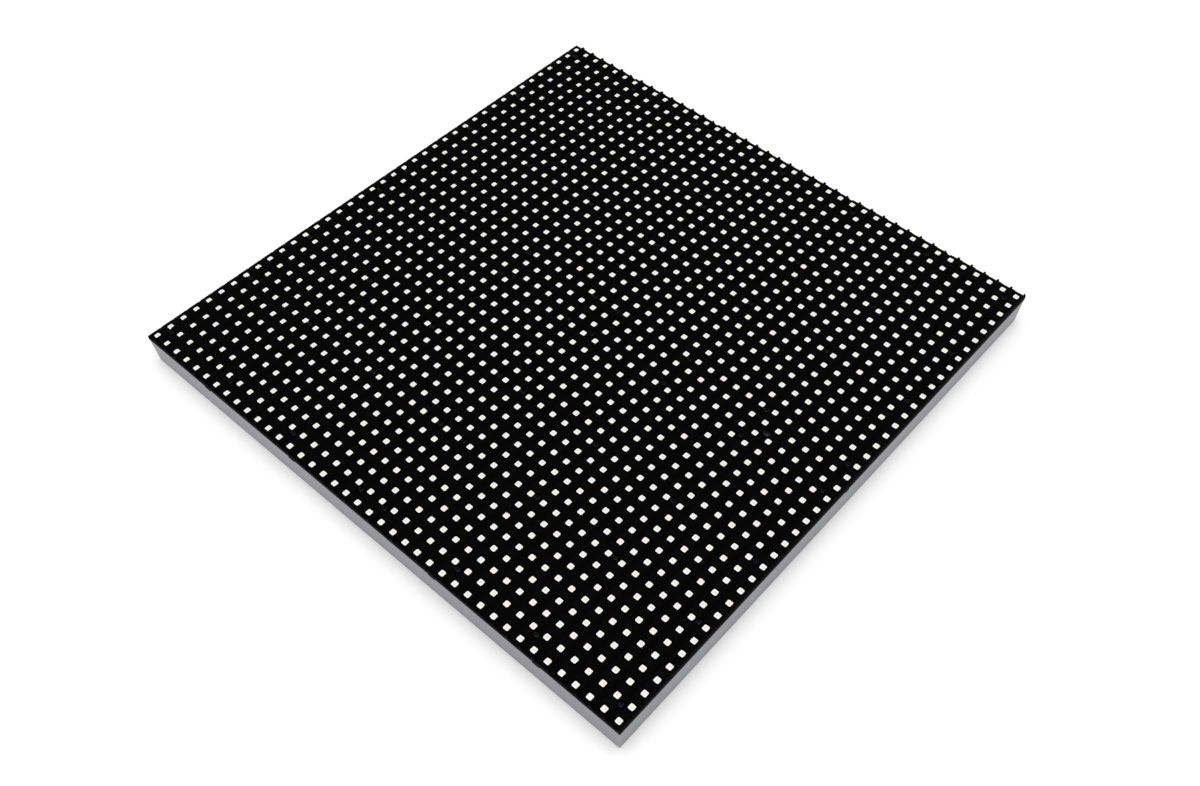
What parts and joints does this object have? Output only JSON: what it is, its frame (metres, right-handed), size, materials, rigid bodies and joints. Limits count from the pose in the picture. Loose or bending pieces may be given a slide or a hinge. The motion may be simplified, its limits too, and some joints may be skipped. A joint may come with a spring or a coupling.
{
  "type": "led dot matrix display module",
  "caption": "Square outdoor LED dot-matrix module with a louvred black mask, grey shell, rear sockets, threaded inserts and hex-key latches.",
  "frame": {"origin": "centre of the rear rim's plane, which the module rests on when it lies on its back", "axes": "+Z is the viewing direction out of the lamp face, +Y is the top edge of the picture, on the visors' side of each lamp, +X is to the right seen from the front"},
  "size_m": [0.3192, 0.3192, 0.021],
  "materials": {
    "shell_plastic": "satin grey moulded polycarbonate",
    "mask_plastic": "fine-textured black moulded plastic",
    "board_laminate": "black solder resist on glass-fibre laminate",
    "lamp_face": "milky encapsulant",
    "black_screw": "black zinc-plated steel",
    "insert_brass": "turned brass",
    "foam_rubber": "black silicone rubber",
    "chip_resin": "moulded epoxy",
    "tinned_lead": "tinned copper",
    "capacitor_ceramic": "matt ceramic",
    "capacitor_can": "drawn can",
    "socket_black": "moulded nylon",
    "socket_ivory": "moulded nylon",
    "pin_gold": "gold flash",
    "bush_acetal": "acetal",
    "latch_steel": "zinc-plated steel"
  },
  "bodies": {
    "module": {"shell": "shell_plastic", "mask": "mask_plastic", "mask_bars": "mask_plastic", "mask_skirt": "mask_plastic", "mask_pegs": "mask_plastic", "board": "board_laminate", "lamps_row_01_10": "lamp_face", "lamps_row_11_20": "lamp_face", "lamps_row_21_30": "lamp_face", "lamps_row_31_40": "lamp_face", "mask_screws": "black_screw", "rear_inserts": "insert_brass", "gasket": "foam_rubber", "driver_chips": "chip_resin", "driver_leads": "tinned_lead", "row_switches": "chip_resin", "logic_chips": "chip_resin", "chip_capacitors": "capacitor_ceramic", "bulk_capacitors": "capacitor_can", "data_in_socket": "socket_black", "data_in_pins": "pin_gold", "data_out_socket": "socket_black", "data_out_pins": "pin_gold", "power_socket": "socket_ivory", "power_pins": "tinned_lead", "bush_top": "bush_acetal", "bush_bottom": "bush_acetal"},
    "latch_top": {"shaft_top": "latch_steel", "seal_top": "foam_rubber", "cam_top": "latch_steel", "cam_screw_top": "black_screw"},
    "latch_bottom": {"shaft_bottom": "latch_steel", "seal_bottom": "foam_rubber", "cam_bottom": "latch_steel", "cam_screw_bottom": "black_screw"}
  },
  "joints": [
    {"name": "latch_top_turn", "type": "hinge", "parent": "module", "child": "latch_top", "pos_m": [0, 0.112, 0], "axis": [0, 0, 1], "range_deg": [0, 90]},
    {"name": "latch_bottom_turn", "type": "hinge", "parent": "module", "child": "latch_bottom", "pos_m": [0, -0.112, 0], "axis": [0, 0, 1], "range_deg": [0, 90]}
  ]
}
